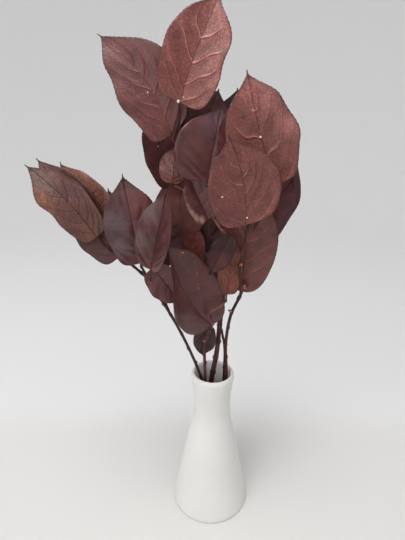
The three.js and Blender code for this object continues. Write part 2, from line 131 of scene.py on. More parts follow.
STEMS = {
    # The stem that leans out to the left.
    "stem_left": [
        twig_of(4, 2, [(13, 27, 7.8), (-3, 5, 118), (-12, -4, 160), (-26, -9, 201), (-39, -14, 232),
            (-53, -20, 261), (-61, -24, 277), (-72, -27, 289), (-86, -29, 300), (-95, -31, 309)],
            # Its grey-tan spot near the tip is painted sheen; its other spots are its own colour.
            leaf_of("copper", (-99, -33, 316), -40, 5, 75, 39, turn=-7, sway=5, full=2.2,
                fold=(4, 4), edge=(1.2, 0), phase=0.7, shade=0.95, rise=(0.38, 0.42),
                starts=((-0.1, 0.05, 0.15, 0.29, 0.46, 0.6, 0.78, 1.1),
                (-0.2, 0.02, 0.15, 0.31, 0.52, 0.68, 0.8, 1.1)),
                stains=((16, -6, 18, "#62372a", 0.75), (60, -4, 13, "#8c7167", 0.75),
                (40, 13, 10, "#6a4648", 0.7), (49, -15, 9, "#96583c", 0.6),
                (20, 12, 9, "#6c3f36", 0.5))),
            # Its pale spot near the tip is painted sheen.
            leaf_of("copper", (-100, -26, 315), -35, 0, 76, 38, sway=2, shade=1.2,
                stains=((60, 10, 10, "#7a5552", 0.7),)),
            # Lightened well past its look: painted light and sheen on a leaf shaded by those in front.
            leaf_of("copper", (-93, -16, 319), -34, -3, 66, 47, at=0.98, sway=-4, full=1.5,
                tone="#85594c", shade=1.7),
            leaf_of("wine", (-83, -26, 297), -45, -8, 61, 35, at=0.93, full=1.4, shade=1.05,
                gloss=0.55),
            # Its grey spots are painted sheen; its darker right half is its own colour.
            leaf_of("plum", (-54, -43, 292), 13, 5, 68, 34, at=0.82, fold=(5, 48), full=2,
                lobe=0.02, quilt=0.45, stains=((50, -9, 9, "#6d5d5d", 0.6),
                (24, -12, 8, "#6b5353", 0.6), (26, 7, 13, "#4c2828", 0.9),
                (48, 7, 10, "#4c2828", 0.8))),
            leaf_of("plum", (-53, -36, 291), 146, -8, 43, 31, at=0.78, shade=1.15, quilt=0.08),
            leaf_of("plum", (-50, -27, 293), 30, 0, 34, 26, at=0.8, shade=0.8),
            leaf_of("plum", (-81, -17, 300), -18, -26, 58, 36, at=0.88, turn=213, simple=True,
                shade=1.1),
            leaf_of("brick", (-52, -11, 273), -5, -36, 58, 38, at=0.72, turn=122, simple=True,
                shade=0.8)),
        twig_of(2.6, 2, [(-61, -24, 277), (-62, -28, 284), (-64, -31, 290)],
            # Its grey spots on the left are painted sheen; the red-brown on the right is its own
            # colour.
            leaf_of("plum", (-64, -34, 294), -7, 7, 75, 45, turn=12, full=2.3, fold=(9, 9),
                shade=1.05, quilt=0.45, stains=((40, -13, 11, "#64565a", 0.6),
                (61, -3, 9, "#62494b", 0.5), (20, -12, 9, "#6a5a5c", 0.6),
                (50, 14, 14, "#6e3c37", 0.7), (28, 14, 11, "#6b3f3a", 0.7),
                (12, 6, 9, "#5e2f2c", 0.7)))),
    ],
    # The short stem in front, with the long dark leaf.
    "stem_front": [
        twig_of(3.8, 2.8, [(-5, -20, 7.7), (-6.5, -7.5, 118), (-8, -11, 167), (-9, -17, 200),
            (-8, -20, 213), (-3, -25, 228)],
            leaf_of("plum", (-4, -31, 235), -24, 12, 93, 58, turn=22, sway=-6, full=2.6, lobe=0.02,
                fold=(33, 7), twist=-50, cup=12, shade=0.9, quilt=0.06, net=0.1, vein=0, rib=0.5,
                flecks=((0.81, -0.37, 0.69, -0.11), (0.68, 0.64, 0.59, 0.37),
                (0.85, 0.86, 0.83, 0.9))),
            leaf_of("dark", (-8, -13, 226), 184, -5, 37, 22, at=0.97),
            leaf_of("brick", (-14, -9, 220), -27, -32, 48, 36, at=0.93, turn=228, simple=True,
                shade=0.8)),
        twig_of(2.4, 1.8, [(-3, -25, 228), (-3, -32, 238), (-7, -40, 249), (-4, -44, 255),
            (3, -42, 258), (9, -33, 260)],
            leaf_of("brick", (10, -24, 262), 3, 4, 54, 24, turn=15, fold=(6, 0), lobe=0.12,
                tone="#86473a", net=0.8, vein=0.5),
            young=True),
    ],
    # The thick stem that reaches the top.
    "stem_tall": [
        twig_of(7, 2.6, [(-14, 2, 7.6), (-4, -2.5, 118), (-1, -2, 158), (3, -4, 187), (5, -6, 216),
            (7, -8, 243), (10, -11, 276), (10, -13, 300), (7, -15, 323), (-1, -17, 340),
            (-12, -19, 355), (-23, -21, 373), (-32, -24, 387), (-36, -25, 393)],
            leaf_of("rose", (-37, -26, 396), -38, -4, 86, 50, turn=8, sway=8, full=1.6, lobe=0.06,
                edge=(1.5, 0), phase=0.28, shade=0.85, rise=(0.52, 0.4),
                starts=((-0.3, -0.02, 0.14, 0.33, 0.5, 0.63, 0.82, 1.1),
                (-0.25, -0.04, 0.07, 0.2, 0.37, 0.55, 0.75, 1.05)), drops=((0.6, -0.17, 0.5),)),
            leaf_of("plum", (-37, -5, 354), -19, -3, 64, 40, at=0.88, turn=35, shade=1.1,
                drops=((0.71, -0.23, 0.5),)),
            leaf_of("plum", (-18, -14, 387), 22, -4, 46, 38, at=0.93, shade=0.9),
            leaf_of("plum", (2, 4, 330), -10, -39, 70, 44, at=0.78, turn=137, simple=True),
            leaf_of("rose", (-12, 0, 372), 5, -32, 60, 40, at=0.88, turn=238, simple=True,
                shade=0.9),
            leaf_of("plum", (-34, -9, 390), -28, -29, 56, 38, at=0.985, turn=122, simple=True)),
        twig_of(2.4, 2, [(-36, -25, 393), (-31, -31, 405), (-30, -36, 413)],
            # Its pale spots on the right half are painted sheen.
            leaf_of("brick", (-30, -38, 418), 22.5, -6, 76, 46, turn=3, sway=-2, full=1.8,
                lobe=0.11, fold=(12, 10), twist=12, edge=(0, 1.6), phase=0.69, shade=1.25,
                rise=(0.36, 0.28), starts=((-0.2, 0.0, 0.17, 0.36, 0.56, 0.75, 0.92, 1.15),
                (-0.25, 0.0, 0.12, 0.38, 0.57, 0.68, 0.78, 1.1)),
                stains=((58, 12, 16, "#ac7066", 0.5), (30, 18, 9, "#a86a60", 0.5)),
                drops=((0.05, -0.08, 1), (0.22, 0.1, 0.4)))),
        twig_of(2.6, 2, [(7, -15, 323), (5, -25, 344), (0, -32, 357)],
            # Its pinkish grey spots are painted sheen.
            leaf_of("plum", (-9, -34, 362), 10, 0, 56, 58, full=1.8, lobe=0.12, shade=1.1,
                stains=((44, -4, 9, "#745560", 0.5), (40, 14, 8, "#6d4f57", 0.5))),
            leaf_of("plum", (14, -35, 372), -1, -3, 50, 34, shade=1.2)),
        twig_of(2.6, 2, [(7, -15, 323), (12, -9, 345), (14, -7, 368)],
            leaf_of("dark", (14, -6, 378), 0, -2, 53, 44)),
    ],
    # The stem on the right.
    "stem_right": [
        twig_of(4.2, 2.4, [(8, -17, 7.7), (10, -4, 118), (14, -1, 155), (12, -6, 201),
            (15, -14, 236), (23, -24, 266), (20, -30, 283), (20, -36, 300), (22, -43, 318),
            (22, -47, 326)],
            leaf_of("brick", (20, -55, 333), -14, 7, 66, 54, turn=4, sway=4, full=1.8, lobe=0.05,
                rise=(0.46, 0.72), starts=((-0.25, 0.05, 0.22, 0.34, 0.5, 0.67, 0.85, 1.1),
                (-0.3, -0.03, 0.12, 0.21, 0.44, 0.62, 0.8, 1.1)), drops=((0.51, -0.64, 0.6),
                (0.28, 0.035, 0.8))),
            leaf_of("brick", (23, -19, 263), 8, 2, 92, 50, at=0.78, turn=-8, arch=4, full=2.4,
                fold=(0, 4), lobe=0.03, sway=-2, tone="#7c4239", shade=0.62, vein=0.9, rib=0.5,
                net=0.3, quilt=0.15),
            leaf_of("plum", (28, -8, 277), 12, -42, 60, 40, at=0.8, turn=223, simple=True)),
        twig_of(2.6, 1.8, [(20, -36, 302), (14, -36, 311), (3, -31, 323), (-5, -25, 333),
            (-15, -20, 343), (-28, -17, 352), (-36, -17, 356)],
            # Its spots are painted light: pink sheen on the left half, and orange and dark on the
            # right half where light shines through it.
            leaf_of("rose", (-38, -18, 358), 6, -4, 30, 23, fold=(4, -10), shade=1.4, net=0.9,
                vein=-0.3, rib=0.1, quilt=0.1, stains=((8, 7, 6, "#6a3c26", 0.95),
                (17, 8, 7, "#3e2622", 0.95), (14, -6, 9, "#93685f", 0.7))),
            leaf_of("dark", (-33, -12, 361), -2, -2, 23, 22, at=0.95, shade=0.9),
            leaf_of("wine", (10, -35, 319), -154, 6, 37, 21, at=0.12, fold=(18, 4), shade=0.5,
                gloss=0.8, quilt=0.05, stains=((26, -4, 9, "#552f2d", 0.7),)),
            young=True),
        twig_of(2.4, 2, [(22, -46, 324), (27, -42, 336), (36, -43, 350), (41, -45, 357)],
            # Its pale spots are painted sheen.
            leaf_of("brick", (42, -46, 362), -18, -3, 81, 51, sway=-2, full=1.9, lobe=0.06,
                edge=(0, 1.2), phase=0.32, shade=1.05, rise=(0.28, 0.5),
                starts=((-0.2, 0.03, 0.22, 0.47, 0.66, 0.8, 0.95, 1.2),
                (-0.25, -0.05, 0.07, 0.2, 0.41, 0.67, 0.85, 1.1)),
                stains=((66, 6, 13, "#a0605a", 0.5), (40, 22, 9, "#a0625c", 0.5)),
                drops=((0.66, -0.03, 0.7),)),
            leaf_of("plum", (40, -25, 358), 8, -26, 60, 42, at=0.75, turn=132, simple=True)),
        twig_of(2.6, 2, [(23, -24, 266), (30, -12, 282), (36, -10, 300)],
            leaf_of("plum", (38, -9.5, 308), 20.5, 0, 77, 41, turn=35, full=1.8, tone="#5e2c2f",
                shade=0.62, gloss=0.7, quilt=0.15),
            leaf_of("plum", (37, -22, 334), 38, 2, 38, 32, at=0.97, full=2.2, tone="#5e2c2f",
                shade=0.75, gloss=0.65, quilt=0.15),
            leaf_of("brick", (35, 4, 306), 10, -34, 64, 42, at=0.95, turn=233, simple=True,
                shade=0.8)),
    ],
    # The thin stem in the middle of the bunch.
    "stem_inner": [
        twig_of(3.2, 1.8, [(17, 5, 7.5), (10.5, 5, 118), (12, 5.5, 161), (11, 2, 195), (6, 0, 221),
            (2, -4, 247), (-2, -12, 281), (1, -18, 296), (-4, -23, 312), (-7, -26, 321)],
            # Its pale spots along the left edge are a painted glint on the rolled margin, fading into
            # painted grey sheen.
            leaf_of("plum", (-8, -28, 331), -25, 0, 41, 34, fold=(50, 4), lobe=0.12, shade=1.2,
                net=0.6, stains=((3, -7, 3, "#b08476", 0.95), (7, -12, 2.8, "#c0968a", 0.95),
                (12, -15, 2.8, "#b08a80", 0.95), (18, -16.5, 3, "#8a6e6a", 0.9),
                (25, -15.5, 3, "#746162", 0.8), (31, -12, 3, "#6a5758", 0.7))),
            leaf_of("wine", (-30, -19, 317), -2, -25, 50, 44, at=0.75, arch=60, tone="#5a2f2a",
                shade=1.05, quilt=0.03, net=0.1, gloss=0.8),
            # Lightened past its look: painted light on a leaf in the shade deep inside the bunch.
            leaf_of("ember", (-20, -15, 288), -8, 0, 42, 26, at=0.8, shade=1.5),
            leaf_of("wine", (-10, -7, 296), -8, 0, 50, 36, at=0.85, shade=1.3),
            leaf_of("plum", (14, 7, 262), 18, -32, 56, 38, at=0.7, turn=200, simple=True),
            leaf_of("brick", (-8, 6, 252), -24, -26, 60, 40, at=0.64, turn=160, simple=True,
                shade=0.8),
            leaf_of("plum", (-6, 5, 286), -8, -36, 54, 36, at=0.8, turn=165, simple=True)),
    ],
}

# Buds that show on the twigs, apart from the small ones where the leaf stalks leave them. Each is
# (place, where it points, length) in mm.
BUDS = {
    "stem_left": [
        ((-50.5, -20.5, 257), (-0.9, -0.4, 0.6), 3.2), ((-22.6, -9, 193), (-1, -0.3, 0.3), 2.6)],
    "stem_front": [
        ((-9, -20.5, 212), (-0.8, -0.5, 0.5), 3.4), ((-1.8, -28.5, 234), (0.8, -0.4, 0.3), 3)],
    "stem_tall": [
        ((7.5, -9.5, 243), (1, -0.3, 0.5), 2.6), ((4.8, -6.3, 200), (1, -0.2, 0.3), 2.2)],
    "stem_right": [
        ((19.7, -35, 293.5), (0.3, -0.8, 0.6), 4.6), ((23.8, -23.5, 268.6), (0.9, -0.3, -0.1), 5),
        ((24.2, -24.5, 270), (0.4, -0.7, 0.6), 4.6), ((13.7, -37, 311.3), (-0.1, -0.8, 0.6), 3),
        ((15.4, -16.6, 242), (-0.9, -0.3, 0.4), 4.6), ((12.8, -7, 200), (0.9, -0.3, 0.4), 2.6)],
    "stem_inner": [
        ((1, -18.6, 294.8), (0.2, -0.7, 0.7), 3.2), ((-0.3, -17.6, 286), (-0.6, -0.6, 0.6), 2.6)],
}


def linear(hex_colour):
    """An sRGB hex colour as linear RGBA."""
    channels = [int(hex_colour[i:i + 2], 16) / 255 for i in (1, 3, 5)]
    return tuple(c / 12.92 if c <= 0.04045 else ((c + 0.055) / 1.055) ** 2.4
                 for c in channels) + (1.0,)


def feed(node, inputs):
    """Sets or links a node's inputs, by name or place. A node stands for its first output."""
    for name, value in inputs.items():
        if isinstance(value, bpy.types.Node):
            value = value.outputs[0]
        if isinstance(value, bpy.types.NodeSocket):
            node.id_data.links.new(value, node.inputs[name])
        else:
            node.inputs[name].default_value = value


def add_node(tree, kind, inputs=None, **settings):
    """Adds a node, makes its settings, and sets or links its inputs."""
    node = tree.nodes.new(kind)
    for name, value in settings.items():
        setattr(node, name, value)
    feed(node, inputs or {})
    return node


# Materials.

def new_material(name, values):
    """A material, its shader with the values that are even all over, and what adds its nodes."""
    material = bpy.data.materials.new(name)
    material.use_nodes = True
    shader = material.node_tree.nodes["Principled BSDF"]
    feed(shader, values)
    return material, shader, partial(add_node, material.node_tree)


def leaf_material(name, lower):
    """Glycerine-preserved salal leaf: a leathery skin with a soft wax gloss.

    The upper face is smooth, with sunk veins. The lower face is duller, with raised veins.
    Its colours and its vein lines come with the mesh, as attributes. Heights are in mm."""
    material, shader, add = new_material(name, {"IOR": 1.45, "Specular IOR Level": 0.5})
    tone, marks, finish = (add("ShaderNodeAttribute", attribute_name=title)
                           for title in ("tone", "marks", "finish"))
    vein_place, rim_gap, off_midrib = add("ShaderNodeSeparateXYZ",
                                          {0: marks.outputs["Vector"]}).outputs
    net_share, vein_tone, rib_tone = add("ShaderNodeSeparateXYZ",
                                         {0: finish.outputs["Vector"]}).outputs
    blade = add("ShaderNodeUVMap", uv_map="blade")
    across = add("ShaderNodeMath", {0: off_midrib}, operation="ABSOLUTE")
    away = add("ShaderNodeMath", {0: vein_place, 1: 0.5}, operation="PINGPONG")
    raised = 1 if lower else -1

    # Noises on the blade's map, which has 100 mm to a unit: one that bends the net, grains of 1 mm
    # and blotches of about 10 mm.
    bend, grain, blotch = (
        add("ShaderNodeTexNoise", {"Vector": blade, "Scale": scale, "Detail": detail,
                                   "Roughness": rough})
        for scale, detail, rough in ((30.0, 2.0, 0.5), (110.0, 3.0, 0.5), (8.0, 5.0, 0.7)))

    # The net of fine veins: meshes of 6 mm and, inside them, of 2.2 mm. The real net goes down to
    # 0.5 mm, too fine to show.
    bent = add("ShaderNodeMix", {"Factor": 0.02, 6: blade, 7: bend.outputs["Color"]},
               data_type="RGBA")
    wide_net, fine_net = (
        add("ShaderNodeTexVoronoi", {"Vector": bent.outputs[2], "Scale": scale},
            feature="DISTANCE_TO_EDGE") for scale in (16.0, 44.0))

    # What each mark amounts to where it is low and where it is high. The real side veins are 0.3 mm
    # wide, too fine to show, so they and their slopes are drawn about 1 mm wide to each side.
    # They fade towards the rim, which is darker. The less net a leaf has, the flatter they are.
    amount = {}
    for title, source, low, high, at_low, at_high, shape in (
            ("rib", across, 0.1, 0.5, 1.0, 0.0, "SMOOTHSTEP"),
            ("side", away, 0.01, 0.05, 1.0, 0.0, "SMOOTHSTEP"),
            ("slope", away, 0.0, 0.1, 1.0, 0.0, "LINEAR"),
            ("inward", rim_gap, 0.5, 9.0, 0.0, 1.0, "SMOOTHSTEP"),
            ("rim", rim_gap, 0.3, 1.1, 0.6, 1.0, "SMOOTHSTEP"),
            ("wide", wide_net, 0.0, 0.07, 0.8, 0.0, "SMOOTHSTEP"),
            ("fine", fine_net, 0.0, 0.22, 0.65, 0.0, "SMOOTHSTEP"),
            ("blotch", blotch, 0.3, 0.7, 0.62, 1.38, "LINEAR"),
            ("speck", grain, 0.3, 0.7, 0.8, 1.2, "LINEAR"),
            ("tall", net_share, 0.0, 0.8, 0.1 * raised, 0.6 if lower else -0.4, "LINEAR")):
        amount[title] = add("ShaderNodeMapRange",
                            {"Value": source, "From Min": low, "From Max": high,
                             "To Min": at_low, "To Max": at_high}, interpolation_type=shape)
    cell = add("ShaderNodeMath", {0: amount["fine"], 1: amount["wide"]}, operation="MAXIMUM")
    side, slope, fine, cell = (
        add("ShaderNodeMath", {0: line, 1: share}, operation="MULTIPLY")
        for line, share in ((amount["side"], amount["inward"]), (amount["slope"], amount["inward"]),
                            (amount["fine"], net_share), (cell, net_share)))

    # Colour: the net, the side veins and the midrib, then blotches, grains and the rim.
    lines = 1.0
    for line, change in ((fine if lower else cell, -0.55), (side, vein_tone),
                         (amount["rib"], rib_tone)):
        lines = add("ShaderNodeMath", {0: line, 1: change, 2: lines}, operation="MULTIPLY_ADD")
    depth = amount["blotch"]
    for share in (amount["speck"], lines, amount["rim"]):
        depth = add("ShaderNodeMath", {0: depth, 1: share}, operation="MULTIPLY")
    base = add("ShaderNodeVectorMath", {0: tone.outputs["Color"], "Scale": depth},
               operation="SCALE")

    # Relief: side veins up to 0.6 mm below and 0.4 mm above, midrib 0.25 mm, net 0.18 mm, and a
    # fine grain.
    ridge = add("ShaderNodeMath", {0: slope, 1: amount["tall"]}, operation="MULTIPLY")
    for line, height in ((amount["rib"], 0.25 * raised), (cell, 0.18 * raised), (grain, 0.12)):
        ridge = add("ShaderNodeMath", {0: line, 1: height, 2: ridge}, operation="MULTIPLY_ADD")
    bump = add("ShaderNodeBump", {"Height": ridge, "Strength": 1.0, "Distance": MM})
    rough = add("ShaderNodeMath", {0: grain, 1: 0.16, 2: tone.outputs["Alpha"]},
                operation="MULTIPLY_ADD")
    feed(shader, {"Base Color": base, "Normal": bump, "Roughness": rough})
    return material


def mottled_material(name, scale, detail, low, high, values):
    """A material whose colour drifts between two tones, in blotches that its scale sets.

    low and high are each (level of the pattern, colour). Also gives back its shader, what adds
    its nodes, and the place on the object."""
    material, shader, add = new_material(name, values)
    place = add("ShaderNodeTexCoord").outputs["Object"]
    blotch = add("ShaderNodeTexNoise", {"Vector": place, "Scale": scale, "Detail": detail})
    colour = add("ShaderNodeValToRGB", {"Fac": blotch})
    for element, (level, tone) in zip(colour.color_ramp.elements, (low, high)):
        element.position = level
        element.color = linear(tone)
    feed(shader, {"Base Color": colour})
    return material, shader, add, place


def bark_material(name, dark, light):
    """Dyed twig bark, dull, with lengthwise wrinkles 0.3 mm wide, dark on old wood and redder on young
    shoots."""
    material, shader, add, place = mottled_material(
        name, 160.0, 3.0, (0.35, dark), (0.7, light),
        {"Roughness": 0.55, "Specular IOR Level": 0.35})
    streak = add("ShaderNodeMapping", {"Vector": place, "Scale": (1.0, 1.0, 0.18)})
    wrinkle = add("ShaderNodeTexNoise", {"Vector": streak, "Scale": 1800.0, "Detail": 3.0})
    bump = add("ShaderNodeBump", {"Height": wrinkle, "Strength": 0.5, "Distance": 0.3 * MM})
    feed(shader, {"Normal": bump})
    return material


def bud_material():
    """Dry bud scales: thin and dull, tan to golden brown."""
    return mottled_material("dry bud scale", 400.0, 2.0, (0.35, "#6a3c22"), (0.65, "#c08a4a"),
                            {"Roughness": 0.6})[0]


def plain_material(name, hex_colour, roughness):
    """A dried drop or a gold fleck, too small to show more than one even colour."""
    return new_material(name, {"Base Color": linear(hex_colour), "Roughness": roughness})[0]


def ceramic_material():
    """Glazed stoneware: off-white, faintly clouded and rippled, with a satin glaze that is
    glossier on the lip."""
    material, shader, add, place = mottled_material(
        "satin white glaze", 22.0, 4.0, (0.3, "#dad9d5"), (0.7, "#e2e1dd"), {})
    height = add("ShaderNodeSeparateXYZ", {0: place})
    gloss = add("ShaderNodeMapRange",
                {"Value": height.outputs["Z"], "From Min": (VASE_HEIGHT - 20) * MM,
                 "From Max": (VASE_HEIGHT - 2) * MM, "To Min": 0.5, "To Max": 0.26},
                interpolation_type="SMOOTHSTEP")
    ripple = add("ShaderNodeTexNoise", {"Vector": place, "Scale": 90.0, "Detail": 2.0})
    bump = add("ShaderNodeBump", {"Height": ripple, "Strength": 0.12, "Distance": 0.5 * MM})
    feed(shader, {"Roughness": gloss, "Normal": bump})
    return material


def paper_material():
    """Plain pale paper: warm white in front and cooler behind the vase, with painted light: lighter
    further out and up the wall, where the lamps light it less.
    """
    material, shader, add = new_material("pale paper",
                                         {"Roughness": 0.85, "Specular IOR Level": 0.2})
    place = add("ShaderNodeTexCoord").outputs["Object"]
    depth = add("ShaderNodeSeparateXYZ", {0: place})
    behind = add("ShaderNodeMapRange",
                 {"Value": depth.outputs["Y"], "From Min": 0.07, "From Max": 0.15},
                 interpolation_type="SMOOTHSTEP")
    reach = add("ShaderNodeVectorMath", {0: place}, operation="LENGTH")
    # Painted light: the paper gets lighter further out, where the lamps light it less.
    far_painted_light = add("ShaderNodeMapRange",
              {"Value": reach.outputs["Value"], "From Min": 0.25, "From Max": 1.6})
    colour = linear("#d5d4d2")
    for share, tone in ((behind, "#dadadb"), (far_painted_light, "#ececed")):
        colour = add("ShaderNodeMix", {"Factor": share, 6: colour, 7: linear(tone)},
                     data_type="RGBA").outputs[2]
    feed(shader, {"Base Color": colour})
    return material


# Shapes.

def smooth_path(points, step):
    """Points along a centripetal Catmull-Rom curve through points, evenly apart, and their places
    as a share of the length."""
    points = [np.array(p, float) for p in points]
    if len(points) == 2:
        dense = [points[0] + (points[1] - points[0]) * t for t in np.linspace(0, 1, 24)]
    else:
        first = 2 * points[0] - points[1]
        last = 2 * points[-1] - points[-2]
        chain = [first] + points + [last]
        dense = []
        for a, b, c, d in zip(chain, chain[1:], chain[2:], chain[3:]):
            gaps = [np.linalg.norm(q - p) ** 0.5 for p, q in ((a, b), (b, c), (c, d))]
            start = ((b - a) / gaps[0] - (c - a) / (gaps[0] + gaps[1]) + (c - b) / gaps[1]) * gaps[1]
            end = ((c - b) / gaps[1] - (d - b) / (gaps[1] + gaps[2]) + (d - c) / gaps[2]) * gaps[1]
            for t in np.linspace(0, 1, 30, endpoint=False):
                dense.append(b + start * t + (3 * (c - b) - 2 * start - end) * t * t
                             + (2 * (b - c) + start + end) * t ** 3)
        dense.append(points[-1])
    dense = np.array(dense)
    length = np.concatenate([[0], np.cumsum(np.linalg.norm(np.diff(dense, axis=0), axis=1))])
    count = max(3, int(round(length[-1] / step)) + 1)
    shares = np.linspace(0, 1, count)
    places = np.stack([np.interp(shares * length[-1], length, dense[:, k]) for k in range(3)], 1)
    return places, shares


def outline(leaf, u):
    """Half width of the blade at u, and how far along the blade its edge lies there.

    The body rises from the base and falls to the tip, a thin spike carries on past its end, and
    the stalk fills its start."""
    rise, fall = 0.45, 0.85
    body_end, taper_from, stalk_end = 0.965, 0.76, 0.02
    full = leaf["full"]
    peak_at = (rise / (rise + fall * full)) ** (1 / full)
    peak = peak_at ** rise * (1 - peak_at ** full) ** fall
    t = np.clip(u / body_end, 0, 1)
    body = np.where(u < body_end, t ** rise * (1 - t ** full) ** fall / peak, 0)
    near_tip = np.clip((t - taper_from) / (1 - taper_from), 0, 1)
    body = body * (1 - TIP_TAPER * near_tip * near_tip * (3 - 2 * near_tip)) * leaf["width"] / 2
    spike = np.where(u > 0.8, 0.3 + 0.9 * np.clip(1 - (u - 0.86) / 0.14, 0, 1), 0)
    stalk = 0.9 * np.maximum(1 - u / stalk_end, 0)
    half = np.maximum(np.sqrt(body ** 2 + spike ** 2), stalk)
    return half, u - leaf["lobe"] * np.sin(np.pi * np.minimum(u / 0.3, 1))


def leaf_axes(leaf):
    """Which way the blade runs, which way its right edge lies, and which way its face looks."""
    bearing, lean = leaf["bearing"] * DEGREE, leaf["lean"] * DEGREE
    along = Vector((math.sin(bearing) * math.cos(lean), -math.sin(lean),
                    math.cos(bearing) * math.cos(lean)))
    face = Vector((0, -1, 0))
    face = (face - along * face.dot(along)).normalized()
    face.rotate(Matrix.Rotation(leaf["turn"] * DEGREE, 3, along))
    return np.array(along), np.array(along.cross(face)), np.array(face)


def leaf_seed(name, number):
    """One fixed seed a leaf, from the name of its stem's blades and its number there."""
    return sum(ord(c) for c in name) * 100 + number


def blade_points(leaf, u, v, seed=None):
    """Points of the blade's middle surface, and the marks that go with them.

    u runs from base to tip and v from the left to the right edge. With a seed, the blade
    also gets its quilting between the veins and its shallow dents."""
    along, across_axis, face = leaf_axes(leaf)
    half, edge = outline(leaf, u)
    q = np.abs(v)
    sign = np.where(v >= 0, 1, -1)

    def by_half(left_and_right):
        return np.where(v >= 0, left_and_right[1], left_and_right[0])

    middle = u * u
    y = middle + (edge - middle) * (0.6 * q + 0.4 * q * q)
    bow = np.sqrt(np.clip(np.sin(np.pi * u), 0, 1))

    # Each half leaves the midrib at its fold angle and curls further to its edge.
    wander = by_half(leaf["edge"])
    x = (half + wander * np.sin(2 * np.pi * (2.3 * u + leaf["phase"])) * bow) * q
    start = by_half(leaf["fold"]) * DEGREE
    curl = leaf["cup"] * DEGREE + 1e-6
    divisor = curl * np.maximum(q, 1e-6)
    lateral = x * (np.sin(start + curl * q) - np.sin(start)) / divisor
    height = -x * (np.cos(start + curl * q) - np.cos(start)) / divisor

    # The side veins climb and bend towards the tip. vein counts them: it is a whole number on
    # each, and half way between two it ends in a half.
    rise = by_half(leaf["rise"])
    vein = y - rise * (1.15 - 0.4 * y) * (0.62 * q + 0.38 * q ** 3)
    if seed is not None:
        rng = np.random.default_rng(seed)
        starts = np.array(VEIN_STARTS) + rng.uniform(-VEIN_SCATTER, VEIN_SCATTER, (2, 8))
        starts = leaf["starts"] or starts
        wobble = rng.uniform(-0.02, 0.02, 4)
        vein = vein + wobble[0] * np.sin(7 * q + 4 * y) + wobble[1] * np.sin(11 * q - 9 * y)
        count = np.arange(len(VEIN_STARTS))
        vein = np.where(v >= 0, np.interp(vein, starts[0], count),
                        np.interp(vein, starts[1], count))
        swell = np.sin(np.pi * np.clip(q * 1.05, 0, 1)) * np.clip(bow * 1.4 - 0.25, 0, 1)
        quilt = -leaf["quilt"] if leaf["lower"] else leaf["quilt"]
        height = height - quilt * swell * np.cos(2 * np.pi * vein)
        for _ in range(DENTS):
            fx, fy = rng.uniform(-0.09, 0.09, 2)
            dent = np.sin(fx * x * sign + fy * y * leaf["length"] + rng.uniform(0, 6.28))
            height = height + DENT_HEIGHT * dent * q * bow
        waves = by_half(rng.uniform(2.2, 3.6, 2)[::-1])
        offset = by_half(rng.uniform(0, 1, 2)[::-1])
        frill = np.sin(2 * np.pi * (waves * u + offset))
        height = height + FRILL_HEIGHT * q ** 3 * bow * frill

    # Twist about the midrib, then bend along it.
    twist = leaf["twist"] * DEGREE * (y - 0.3)
    across = sign * lateral * np.cos(twist) - height * np.sin(twist)
    above = sign * lateral * np.sin(twist) + height * np.cos(twist)
    arch = leaf["arch"] * DEGREE + 1e-6
    slope = arch * (0.5 - y)
    arc = leaf["length"] * (arch / 2) / math.sin(arch / 2)
    ahead = arc * (math.sin(arch / 2) - np.sin(slope)) / arch - np.sin(slope) * above
    up = arc * (np.cos(slope) - math.cos(arch / 2)) / arch + np.cos(slope) * above
    across = across + leaf["sway"] * 4 * y * (1 - y)
    points = (np.array(leaf["base"], float) + ahead[..., None] * along
              + across[..., None] * across_axis + up[..., None] * face)
    return points, x * sign, y * leaf["length"], vein, half * (1 - q)


